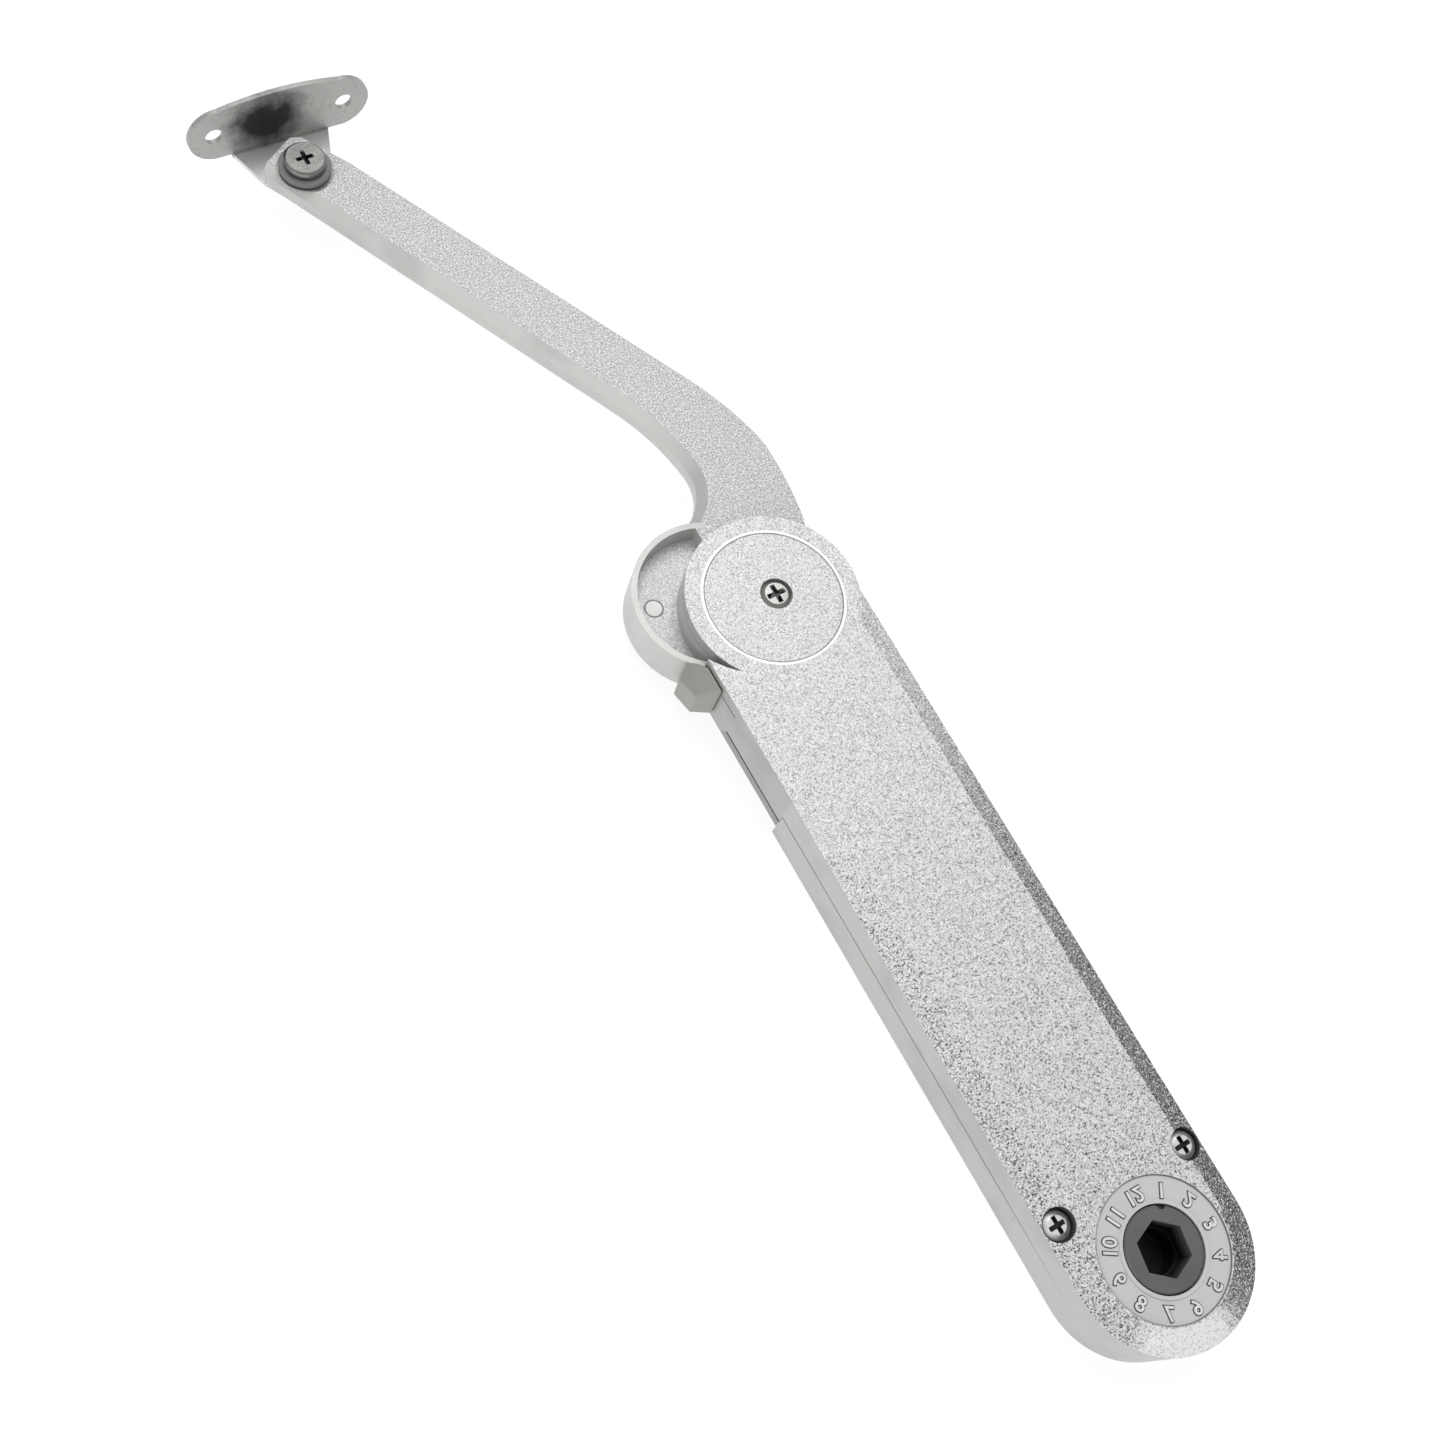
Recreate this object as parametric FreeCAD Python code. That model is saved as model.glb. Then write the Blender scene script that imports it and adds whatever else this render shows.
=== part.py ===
import FreeCAD, Part
import os
import math

V = FreeCAD.Vector

# Driving dimensions, in millimetres. The pivot axis is at x = y = 0 and the back face is at z = 0.
case_top = 18.2
half_width = 20.0
centre_x = -1.0
dial_y = -155.5
seam_z = 9.2
floor_t = 2.0
wall_t = 1.7
plate_t = 2.2
ring_r = 20.0
ring_bottom = 14.5
cap_r = 16.3
cap_t = 1.8
cap_screw_x = 0.9
cap_screw_y = 0.5
wall_start = -13.7
window_end = -43.0
slot_end = -24.6
slot_low = 8.2
strip_top = 2.6
hub_low = 8.0
hub_top = 14.0
neck_low = 8.5
shaft_r = 4.0
lobe_x = -10.85
lobe_y = 7.67
lobe_r = 17.8
lobe_wall = 1.35
lobe_top = 14.2
lobe_low = 3.0
pocket_z = 9.2
pocket_end = -6.0
pin_x = -22.3
pin_y = 11.5
pin_r = 1.85
arm_x = -44.2
arm_y = 142.3
dial_r = 14.3
collar_wall = 1.04
adjuster_r = 8.46
hex_r = 5.84
screw_edge = 3.6
screw_ahead = 14.3
flange_reach = 14.0
flange_t = 1.2
flange_len = 44.4
flange_rise = 16.3
hole_pitch = 32.0
hole_r = 2.15
hole_rise = 7.3
leg_low = 7.1
leg_top = 8.3
roller_r = 4.0
pitch_rest = 16.0
lift = 8.0
swing_deg = 100.0
spring_z = 8.2
spring_gap = 2.3
spring_r = 5.5
wire_r = 0.9
slider_front = -26.0
slider_len = 16.0
slider_gap = 1.8
seat_ahead = 33.5
seat_t = 6.0
seat_lift = 5.0
snail_pitch = 11.2
nose_r = 2.0
axle_r = 1.5
rod_r = 1.5
damper_r = 4.5
bevel = 2.2
edge_break = 0.5

# Values worked out from the driving dimensions.
left_x = centre_x - half_width
right_x = centre_x + half_width
inner_l = left_x + wall_t
inner_r = right_x - wall_t
cap_floor = case_top - cap_t
flange_x = arm_x + 0.2
flange_y = arm_y + flange_reach
flange_top = leg_top + flange_rise
flange_z = leg_top + hole_rise
collar_r = adjuster_r + collar_wall
screw_off = half_width - screw_edge
screw_y = dial_y + screw_ahead
spring_off = half_width - wall_t - spring_r - spring_gap
block_l = inner_l + slider_gap
block_r = inner_r - slider_gap
slider_back = slider_front - slider_len
seat_y = dial_y + seat_ahead
spring_len = slider_back - seat_y
damper_front = slider_back - 24.0
damper_back = seat_y + 10.0


def box(x0, x1, y0, y1, z0, z1):
    return Part.makeBox(x1 - x0, y1 - y0, z1 - z0, V(x0, y0, z0))


def cyl(x, y, z0, z1, r):
    return Part.makeCylinder(r, z1 - z0, V(x, y, z0))


def rod(x, z, y0, y1, r):
    return Part.makeCylinder(r, y1 - y0, V(x, y0, z), V(0, 1, 0))


def cone(x, y, z0, z1, r0, r1):
    return Part.makeCone(r0, r1, z1 - z0, V(x, y, z0))


def prism(points, z0, z1):
    ring = [V(x, y, z0) for x, y in points]
    wire = Part.makePolygon(ring + [ring[0]])
    return Part.Face(wire).extrude(V(0, 0, z1 - z0))


def solid_of(edges, height):
    return Part.Face(Part.Wire(edges)).extrude(V(0, 0, height))


def save(shape, name):
    clean = shape.copy().removeSplitter()
    if not clean.isValid() or abs(clean.Volume - shape.Volume) > 0.01 * shape.Volume:
        clean = shape
    if len(clean.Solids) == 1:
        clean = clean.Solids[0]
    clean.exportStep("parts/" + name + ".step")
    print(name, len(clean.Solids), round(clean.Volume, 1), clean.isValid())


def body_plan(inset, z0, z1, top_left, top_right):
    # Straight-sided body outline with its round end about the dial centre.
    lx = left_x + inset
    rx = right_x - inset
    pts = [(lx, dial_y), (rx, dial_y), (rx, top_right), (0, top_right), (0, top_left), (lx, top_left)]
    block = prism(pts, z0, z1)
    return block.fuse(cyl(centre_x, dial_y, z0, z1, half_width - inset))


def side_cut(side, stations):
    # Sloping strip taken off one long top edge, lofted between sections (y, width, drop) along the body.
    rings = []
    outer_x = centre_x + side * half_width
    for y, w, d in stations:
        slope = (d + 0.02) / w
        tip = V(outer_x - side * w, y, case_top)
        low = V(outer_x + side, y, case_top - d - 0.02 - slope)
        high = V(outer_x + side, y, case_top + 1.0)
        up = V(outer_x - side * w, y, case_top + 1.0)
        rings.append(Part.makePolygon([tip, low, high, up, tip]))
    return Part.makeLoft(rings, True, True)


def front_cover():
    plate = body_plan(0.0, seam_z, case_top, -7.0, -6.24)
    # The end of the body is dressed to a cone around the dial.
    end_keep = cyl(centre_x, dial_y, seam_z, case_top - 1.4, half_width)
    end_keep = end_keep.fuse(cone(centre_x, dial_y, case_top - 1.4, case_top, half_width, dial_r + 0.4))
    end_zone = box(left_x - 1, right_x + 1, dial_y - half_width - 1, dial_y, seam_z - 1, case_top + 1)
    plate = plate.cut(end_zone.cut(end_keep))
    slope_r = [(-4, 3.9, 0.04), (-26, 3.9, 0.2), (-50, 4.0, 0.45), (-84, 4.1, 0.75), (dial_y, 4.5, 1.4)]
    slope_l = [(window_end, 5.6, 0.04), (-70, 5.7, 0.8), (-84, 5.7, 1.0), (dial_y, 5.8, 1.4)]
    plate = plate.cut(side_cut(1, slope_r))
    plate = plate.cut(side_cut(-1, slope_l))
    # Hollow underneath, leaving the ring end and the dial bed at their full thickness.
    hollow = body_plan(wall_t, seam_z - 1, case_top - plate_t, slot_end, slot_end)
    dial_bed = cyl(centre_x, dial_y, ring_bottom, case_top, collar_r + 2.5)
    plate = plate.cut(hollow.cut(dial_bed))
    lower = box(left_x - 1, right_x + 1, slot_end, 30, seam_z - 1, ring_bottom)
    plate = plate.cut(lower)
    plate = plate.fuse(cyl(0, 0, ring_bottom, case_top, ring_r))
    # Left wall beside the window, with its stepped lower edge.
    wall = [(wall_start, ring_bottom + 1), (wall_start, 3.9), (-18.4, 3.9), (-20.3, 6.7)]
    wall = wall + [(window_end - 0.1, 6.7), (window_end - 0.1, ring_bottom + 1)]
    ring = [V(left_x, y, z) for y, z in wall]
    side = Part.Face(Part.makePolygon(ring + [ring[0]])).extrude(V(1.2, 0, 0))
    plate = plate.fuse(side)
    plate = plate.cut(box(left_x - 1, left_x + 0.5, -20.2, -14.6, ring_bottom - 0.25, ring_bottom + 0.15))
    # Slit that follows the ring.
    slit = cyl(-1.25, 6.63, ring_bottom - 0.6, case_top + 1, 24.0)
    slit = slit.cut(cyl(0, 0, ring_bottom - 1, case_top + 2, ring_r))
    slit = slit.common(box(left_x - 4, -14, -14, -4, ring_bottom - 0.6, case_top + 2))
    plate = plate.cut(slit)
    # Seat of the cap and the hole for the shaft.
    plate = plate.cut(cyl(0, 0, cap_floor, case_top + 1, cap_r + 0.15))
    plate = plate.cut(cyl(0, 0, 0, case_top + 1, shaft_r + 0.04))
    # Dial face sunk a little inside the rim, with a raised collar round the adjuster.
    sunk = cyl(centre_x, dial_y, case_top - 0.35, case_top + 1, dial_r)
    sunk = sunk.cut(cyl(centre_x, dial_y, case_top - 1, case_top + 2, collar_r))
    plate = plate.cut(sunk)
    plate = plate.cut(cyl(centre_x, dial_y, 0, case_top + 1, adjuster_r + 0.3))
    # Screw posts, stepped holes through them.
    for side_sign in (-1, 1):
        sx = centre_x + side_sign * screw_off
        post = cyl(sx, screw_y, seam_z, case_top - 1.6, 3.5)
        post = post.common(body_plan(0.3, seam_z, case_top, -7.0, -7.0))
        plate = plate.fuse(post)
        plate = plate.cut(cyl(sx, screw_y, ring_bottom + 0.5, case_top + 1, 3.4))
        plate = plate.cut(cyl(sx, screw_y, 0, case_top + 1, 1.75))
    return plate


def back_shell():
    outer = body_plan(0.0, 0, seam_z, -11.6, -11.6)
    hollow = body_plan(wall_t, floor_t, seam_z + 1, -5.0, -5.0)
    shell = outer.cut(hollow)
    # Lower right wall under the arm slot; the left wall stands back below the window.
    shell = shell.cut(box(10, right_x + 1, slot_end, 5, slot_low, seam_z + 1))
    shell = shell.cut(box(left_x - 1, left_x + 9, window_end, 5, floor_t, seam_z + 1))
    shell = shell.cut(box(left_x - 1, left_x + 1.4, window_end, 5, -1, seam_z + 1))
    shell = shell.fuse(box(left_x + 1.4, left_x + 2.7, window_end, -16.0, 0, strip_top))
    shell = shell.fuse(cyl(0, 0, 0, floor_t, 19.0))
    # Blind seat of the shaft, posts for screws, threaded fixing bosses, adjuster seat.
    shell = shell.cut(cyl(0, 0, 0.9, 20, shaft_r + 0.01))
    for side_sign in (-1, 1):
        sx = centre_x + side_sign * screw_off
        post = cyl(sx, screw_y, 1.0, seam_z, 3.5)
        shell = shell.fuse(post.common(body_plan(0.3, 0, seam_z, -7.0, -7.0)))
        shell = shell.cut(cyl(sx, screw_y, 3.0, seam_z + 1, 1.5))
    for boss_y in (window_end - 16.0, dial_y + 21.5):
        shell = shell.fuse(cyl(centre_x, boss_y, 1.0, 6.0, 4.0))
        shell = shell.cut(cyl(centre_x, boss_y, -1, 7, 1.65))
    shell = shell.fuse(cyl(centre_x, dial_y, 1.0, 4.5, 8.0))
    shell = shell.cut(cyl(centre_x, dial_y, floor_t, 6, 5.06))
    # Saddle under the damper.
    for saddle_y in (damper_front - 6, damper_back + 6):
        saddle = box(centre_x - 5.0, centre_x + 5.0, saddle_y - 2, saddle_y + 2, 1.0, spring_z - 2.0)
        shell = shell.fuse(saddle.cut(rod(centre_x, spring_z, saddle_y - 5, saddle_y + 5, damper_r + 0.02)))
    # Foot of the stop block is let into this pad.
    shell = shell.fuse(box(left_x + 1.6, left_x + 5.4, -13.4, -11.2, 1.0, 4.8))
    return shell


def stop_block():
    side = left_x - 0.2
    pts = [(side - 2.4, -4.0), (side, -8.3), (side, -14.6), (side - 4.5, -12.2), (side - 5.6, -7.0)]
    block = prism(pts, 5.0, 17.0)
    top = [V(left_x, -20, 17.05), V(left_x - 7.5, -20, 10.9), V(left_x - 7.5, -20, 19), V(left_x, -20, 19)]
    slope = Part.Face(Part.makePolygon(top + [top[0]])).extrude(V(0, 20, 0))
    block = block.cut(slope)
    low = [V(left_x - 5.4, -20, 4.9), V(left_x - 8.5, -20, 8.0), V(left_x - 8.5, -20, 4.0)]
    low.append(V(left_x - 5.4, -20, 4.0))
    block = block.cut(Part.Face(Part.makePolygon(low + [low[0]])).extrude(V(0, 20, 0)))
    block = block.makeFillet(0.35, block.Edges)
    foot = box(left_x - 0.6, left_x + 5.0, -13.2, -11.4, 5.1, 6.9)
    foot = foot.fuse(box(left_x + 2.5, left_x + 5.0, -13.2, -11.4, 4.8, 6.9))
    block = block.fuse(foot)
    return block.cut(cyl(lobe_x, lobe_y, 0, 20, lobe_r + 0.3))


def leaving_arc(start, heading, end, z):
    # Arc that leaves start along heading and ends at end; also gives the heading at the end.
    dx = end[0] - start[0]
    dy = end[1] - start[1]
    chord = math.hypot(dx, dy)
    turn = math.atan2(dy, dx) - heading
    turn = math.atan2(math.sin(turn), math.cos(turn))
    radius = chord / (2 * math.sin(turn))
    cx = start[0] - radius * math.sin(heading)
    cy = start[1] + radius * math.cos(heading)
    first = math.atan2(start[1] - cy, start[0] - cx)
    mx = cx + abs(radius) * math.cos(first + turn)
    my = cy + abs(radius) * math.sin(first + turn)
    edge = Part.Arc(V(start[0], start[1], z), V(mx, my, z), V(end[0], end[1], z)).toShape()
    return edge, heading + 2 * turn


def arm_plan():
    # Neck and bar in one outline: a swan neck of arcs, then a straight bar and a chamfered end.
    z = neck_low

    def line(a, b):
        return Part.makeLine(V(a[0], a[1], z), V(b[0], b[1], z))

    root_r = (15.5, 8.5)
    out0 = (18.5, 15.4)
    out1 = (20.1, 38.7)
    out2 = (11.8, 59.7)
    tip = [(10.6, -1.3), (7.7, 2.9), (3.7, 8.7), (0.6, 9.6), (-8.0, 4.3), (-8.1, 2.3)]
    end = [(arm_x + dx, arm_y + dy) for dx, dy in tip]
    in0 = (arm_x - 5.6, arm_y - 1.9)
    in1 = (-6.2, 59.9)
    in2 = (0.6, 38.4)
    in3 = (-7.8, 25.0)
    edges = [line((0, 0), root_r), line(root_r, out0)]
    edges.append(Part.Arc(V(out0[0], out0[1], z), V(20.05, 27.0, z), V(out1[0], out1[1], z)).toShape())
    edges.append(Part.Arc(V(out1[0], out1[1], z), V(17.5, 47.4, z), V(out2[0], out2[1], z)).toShape())
    chain = [out2] + end + [in0]
    for a, b in zip(chain, chain[1:]):
        edges.append(line(a, b))
    edges.append(line(in0, in1))
    away = math.atan2(in1[1] - in0[1], in1[0] - in0[0])
    first, away = leaving_arc(in1, away, in2, z)
    second, away = leaving_arc(in2, away, in3, z)
    edges.append(first)
    edges.append(second)
    edges.append(line(in3, (-12, 12)))
    edges.append(line((-12, 12), (0, 0)))
    return edges


def edges_above(shape, plan, z):
    # Edges of shape at height z that lie straight above the given plan edges.
    found = []
    for p in plan:
        spot = p.CenterOfMass
        for e in shape.Edges:
            mid = e.CenterOfMass
            if math.hypot(mid.x - spot.x, mid.y - spot.y) < 0.05 and abs(mid.z - z) < 0.01:
                found.append(e)
    return found


def arm():
    plan = arm_plan()
    bar = solid_of(plan, hub_top - neck_low)
    # Long bevel on the inner edge of the bar and neck, small break on the outer one.
    inner = edges_above(bar, plan[11:14], hub_top)
    bar = bar.makeChamfer(bevel, inner)
    outer = edges_above(bar, plan[3:6], hub_top)
    bar = bar.makeChamfer(edge_break, outer)
    print("bevel edges", len(inner), len(outer))
    hub = cyl(0, 0, hub_low, hub_top, ring_r - 0.1)
    lobe = cyl(lobe_x, lobe_y, hub_low, lobe_top, lobe_r)
    lobe = lobe.cut(cyl(0, 0, hub_low - 1, lobe_top + 1, ring_r - 0.2))
    body = hub.fuse(bar)
    pocket = cyl(lobe_x, lobe_y, pocket_z, lobe_top + 1, lobe_r - lobe_wall)
    pocket = pocket.cut(cyl(0, 0, 0, lobe_top + 2, ring_r - 0.1))
    pocket = pocket.cut(box(pocket_end, 20, 12, 40, 0, 20))
    body = body.fuse(lobe).cut(pocket)
    skirt = cyl(lobe_x, lobe_y, lobe_low, hub_low + 0.5, lobe_r)
    skirt = skirt.cut(cyl(lobe_x, lobe_y, 0, hub_low + 1, lobe_r - lobe_wall))
    skirt = skirt.cut(cyl(0, 0, 0, hub_low + 1, ring_r - 0.3))
    skirt = skirt.cut(box(-7.0, 20, 5, 40, 0, hub_low))
    body = body.fuse(skirt)
    body = body.fuse(cyl(0, 0, 6.5, hub_low + 0.5, 9.5))
    body = body.cut(cyl(0, 0, 0, 20, shaft_r + 1.5))
    body = body.cut(cyl(pin_x, pin_y, 0, 20, pin_r + 0.01))
    body = body.cut(cyl(arm_x, arm_y, 0, 20, 4.2))
    return body


def spiral(pitch0, rise, sweep, start, lead, offset, low, high):
    # Sector whose edge stays one follower radius inside a pitch curve that climbs steadily with angle.
    pts = []
    count = 60
    slope = rise / math.radians(sweep)
    for i in range(count + 1):
        along = math.radians(-lead + (sweep + 2 * lead) * i / count)
        r = pitch0 + slope * along
        a = math.radians(start) + along
        norm = math.hypot(r, slope)
        # Unit normal of the pitch curve, pointing inwards.
        radial = -r / norm
        tangent = slope / norm
        rx = r * math.cos(a) + offset * (radial * math.cos(a) - tangent * math.sin(a))
        ry = r * math.sin(a) + offset * (radial * math.sin(a) + tangent * math.cos(a))
        pts.append(V(rx, ry, low))
    curve = Part.BSplineCurve()
    curve.interpolate(pts)
    back = Part.makeLine(pts[-1], V(0, 0, low))
    front = Part.makeLine(V(0, 0, low), pts[0])
    return Part.Face(Part.Wire([curve.toShape(), back, front])).extrude(V(0, 0, high - low))


def cam_plate():
    low = 3.5
    high = 6.4
    clear = roller_r + 0.2
    sector = spiral(pitch_rest, lift, swing_deg, -90, 7, clear, low, high)
    plate = sector.fuse(cyl(0, 0, low, high, pitch_rest - clear - 1.2))
    tab = prism([(-6, -8), (-24.4, 9.2), (-21.5, 14.2), (0, 11)], low, high)
    tab = tab.fuse(cyl(pin_x, pin_y, low, high, 3.0))
    plate = plate.fuse(tab)
    plate = plate.cut(cyl(0, 0, 0, 20, shaft_r + 1.5))
    return plate.cut(cyl(pin_x, pin_y, 0, 20, pin_r + 0.01))


def cam_pin():
    return cyl(pin_x, pin_y, 3.5, pocket_z + 0.05, pin_r)


def pivot_shaft():
    shaft = cyl(0, 0, 0.9, cap_floor, shaft_r)
    return shaft.cut(cyl(cap_screw_x, cap_screw_y, 8.0, 20, 1.6))


def washer(z0, z1, r0, r1):
    return cyl(0, 0, z0, z1, r1).cut(cyl(0, 0, z0 - 1, z1 + 1, r0))


def cap_disc():
    # Flat plate with a narrow bead round its edge and a sunk seat for the screw head.
    disc = cyl(0, 0, cap_floor, case_top, cap_r + 0.12)
    disc = disc.cut(cyl(0, 0, case_top - 0.1, case_top + 1, cap_r - 0.5))
    disc = disc.cut(cyl(cap_screw_x, cap_screw_y, 0, 30, 2.1))
    return disc.cut(cyl(cap_screw_x, cap_screw_y, cap_floor + 0.5, 30, 3.7))


def cross_slot(x, y, top, deep, size):
    arm_half = size * 0.25
    one = box(x - size, x + size, y - arm_half, y + arm_half, top - deep, top + 1)
    two = box(x - arm_half, x + arm_half, y - size, y + size, top - deep, top + 1)
    slot = one.fuse(two)
    return slot.common(cone(x, y, top - deep, top + 0.01, size * 0.55, size))


def cap_screw():
    seat = cap_floor + 0.5
    x = cap_screw_x
    y = cap_screw_y
    head = cyl(x, y, seat, seat + 0.75, 3.4)
    head = head.fuse(cone(x, y, seat + 0.75, seat + 1.2, 3.4, 2.6))
    shank = cyl(x, y, 8.5, seat, 1.6)
    return head.fuse(shank).cut(cross_slot(x, y, seat + 1.2, 1.0, 2.3))


def body_screws():
    group = []
    for side_sign in (-1, 1):
        sx = centre_x + side_sign * screw_off
        seat = ring_bottom + 0.5
        head = cyl(sx, screw_y, seat, seat + 1.1, 2.9)
        head = head.fuse(cone(sx, screw_y, seat + 1.1, seat + 1.7, 2.9, 1.9))
        head = head.fuse(cyl(sx, screw_y, 3.2, seat, 1.5))
        group.append(head.cut(cross_slot(sx, screw_y, seat + 1.7, 1.2, 2.0)))
    return Part.makeCompound(group)


def slider():
    mid = box(block_l, block_r, slider_back, slider_front, 2.2, 13.6)
    mid = mid.cut(box(centre_x - 20, centre_x + 20, slider_back + 6, slider_front + 1, 8.0, 14))
    fork_end = -(pitch_rest - 4.6)
    low = box(centre_x - 4.6, centre_x + 6.6, slider_front - 1, fork_end, 2.15, 3.35)
    high = box(centre_x - 4.6, centre_x + 6.6, slider_front - 1, fork_end, 6.55, 7.8)
    block = mid.fuse(low).fuse(high)
    block = block.cut(cyl(0, -pitch_rest, 0, 20, axle_r + 0.02))
    block = block.cut(rod(centre_x, spring_z, slider_back - 1, slider_back + 7, rod_r + 0.01))
    block = block.cut(cyl(0, -pitch_rest - lift - 1.0, 3.35, 6.55, roller_r + 1.0))
    return block


def roller():
    return cyl(0, -pitch_rest, 3.45, 6.45, roller_r).cut(cyl(0, -pitch_rest, 0, 10, axle_r + 0.03))


def roller_pin():
    return cyl(0, -pitch_rest, 2.15, 7.75, axle_r)


def coil(x):
    turns_pitch = 7.0
    helix = Part.makeHelix(turns_pitch, spring_len - 2 * wire_r - 0.1, spring_r - wire_r)
    start = V(spring_r - wire_r, 0, 0)
    circle = Part.Wire(Part.Circle(start, V(0, 1, 0), wire_r).toShape())
    pipe = Part.Wire(helix).makePipeShell([circle], True, True)
    pipe.rotate(V(0, 0, 0), V(1, 0, 0), -90)
    pipe.translate(V(x, seat_y + wire_r + 0.05, spring_z))
    return pipe


def springs():
    return Part.makeCompound([coil(centre_x - spring_off), coil(centre_x + spring_off)])


def spring_guides():
    group = []
    for sign in (-1, 1):
        x = centre_x + sign * spring_off
        group.append(rod(x, spring_z, seat_y - 3, slider_back - 18.0, 2.6))
    return Part.makeCompound(group)


def spring_seat():
    block = box(block_l, block_r, seat_y - seat_t, seat_y, 2.2, 13.6)
    nose_y = dial_y + snail_pitch
    push = box(centre_x - 3.0, centre_x + 3.0, nose_y, seat_y - seat_t + 1, 7.0, 11.6)
    push = push.fuse(cyl(centre_x, nose_y, 7.0, 11.6, nose_r))
    push = push.cut(box(centre_x - 4, centre_x - nose_r, nose_y - 3, nose_y + 3, 6, 13))
    push = push.cut(box(centre_x + nose_r, centre_x + 4, nose_y - 3, nose_y + 3, 6, 13))
    block = block.fuse(push)
    for sign in (-1, 1):
        block = block.cut(rod(centre_x + sign * spring_off, spring_z, seat_y - 3, seat_y + 1, 2.61))
    return block


def snail_cam():
    low = 7.0
    high = 11.6
    clear = nose_r + 0.15
    plate = spiral(snail_pitch, seat_lift, 330, 90, 8, clear, low, high)
    plate = plate.fuse(cyl(0, 0, low, high, snail_pitch - clear - 0.3))
    plate = plate.cut(cyl(0, 0, 0, 20, 7.22))
    plate.translate(V(centre_x, dial_y, 0))
    return plate


def adjuster():
    body = cyl(0, 0, 2.05, 4.7, 5.0)
    body = body.fuse(cyl(0, 0, 4.6, 13.1, 7.2))
    body = body.fuse(cyl(0, 0, 12.9, ring_bottom - 0.15, adjuster_r + 1.54))
    body = body.fuse(cyl(0, 0, 13.0, case_top - 0.3, adjuster_r))
    body = body.fuse(cone(0, 0, case_top - 0.3, case_top, adjuster_r, adjuster_r - 0.3))
    corners = []
    for k in range(6):
        a = math.radians(20 + 60 * k)
        corners.append((hex_r * math.cos(a), hex_r * math.sin(a)))
    body = body.cut(prism(corners, 12.8, 20))
    body = body.cut(cyl(0, 0, 8.0, 13.0, 4.6))
    for angle, r in ((59, 1.05), (-56, 0.5)):
        a = math.radians(angle)
        nx = (adjuster_r + 0.15) * math.cos(a)
        ny = (adjuster_r + 0.15) * math.sin(a)
        body = body.cut(cyl(nx, ny, case_top - 1.6, case_top + 1, r))
    body.translate(V(centre_x, dial_y, 0))
    return body


def damper_cylinder():
    tube = rod(centre_x, spring_z, damper_back, damper_front, damper_r)
    tube = tube.cut(rod(centre_x, spring_z, damper_back + 2, damper_front - 3, damper_r - 0.9))
    return tube.cut(rod(centre_x, spring_z, damper_front - 4, damper_front + 6, rod_r + 0.06))


def damper_rod():
    stem = rod(centre_x, spring_z, damper_back + 20, slider_back + 4, rod_r)
    return stem.fuse(rod(centre_x, spring_z, damper_back + 18, damper_back + 24, damper_r - 1.0))


def bracket():
    half = flange_len / 2
    mid_l = flange_x - half + 7.4
    mid_r = flange_x + half - 7.4
    flange = box(mid_l, mid_r, flange_y, flange_y + flange_t, leg_top, flange_z + 7.3)
    for sign in (-1, 1):
        cx = flange_x + sign * (half - 7.4)
        end = Part.makeCylinder(7.4, flange_t, V(cx, flange_y, flange_z), V(0, 1, 0))
        flange = flange.fuse(end)
    arch_r = 69.3
    arch = Part.makeCylinder(arch_r, flange_t, V(flange_x, flange_y, flange_top - arch_r), V(0, 1, 0))
    middle = box(mid_l, mid_r, flange_y - 1, flange_y + 5, flange_z + 4.4, flange_z + 14.4)
    flange = flange.fuse(arch.common(middle))
    flange = flange.cut(box(mid_l - 9, mid_r + 9, flange_y - 1, flange_y + 5, 0, leg_top))
    leg_l = flange_x - 11.9
    leg_r = flange_x + 12.1
    far_y = flange_y + 0.2
    side_l = (arm_x - 8.2, arm_y + 3.9)
    side_r = (arm_x + 9.6, arm_y + 6.7)
    leg = prism([(leg_l, far_y), side_l, (arm_x - 5.0, arm_y), (arm_x + 5.0, arm_y), side_r, (leg_r, far_y)],
                leg_low, leg_top)
    leg = leg.fuse(box(leg_l, leg_r, flange_y, flange_y + flange_t, leg_low, leg_top + 0.5))
    leg = leg.fuse(cyl(arm_x, arm_y, leg_low, leg_top, 5.0))
    plate = flange.fuse(leg)
    for sign in (-1, 1):
        cx = flange_x + sign * hole_pitch / 2
        hole = Part.makeCylinder(hole_r, 10, V(cx, flange_y - 4, flange_z), V(0, 1, 0))
        plate = plate.cut(hole)
    return plate.cut(cyl(arm_x, arm_y, 0, 20, 2.06))


def bracket_bush():
    bush = cyl(arm_x, arm_y, neck_low, hub_top + 0.3, 4.19)
    bush = bush.fuse(cyl(arm_x, arm_y, hub_top + 0.05, hub_top + 0.5, 6.5))
    return bush.cut(cyl(arm_x, arm_y, 0, 20, 2.06))


def bracket_washer():
    ring = cyl(arm_x, arm_y, hub_top + 0.55, hub_top + 1.6, 6.0)
    ring = ring.fuse(cone(arm_x, arm_y, hub_top + 1.6, hub_top + 1.9, 6.0, 5.6))
    return ring.cut(cyl(arm_x, arm_y, 0, 20, 2.06))


def bracket_screw():
    base = hub_top + 1.9
    head = cyl(arm_x, arm_y, base, base + 1.8, 4.8)
    dome = cone(arm_x, arm_y, base + 1.8, base + 2.2, 4.8, 4.3)
    screw = head.fuse(dome).fuse(cyl(arm_x, arm_y, 5.3, base, 2.0))
    return screw.cut(cross_slot(arm_x, arm_y, base + 2.2, 1.5, 2.1))


def bracket_nut():
    pts = []
    for k in range(6):
        a = math.radians(60 * k)
        pts.append((arm_x + 3.9 * math.cos(a), arm_y + 3.9 * math.sin(a)))
    return prism(pts, 5.1, leg_low).cut(cyl(arm_x, arm_y, 0, 20, 2.01))


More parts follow.
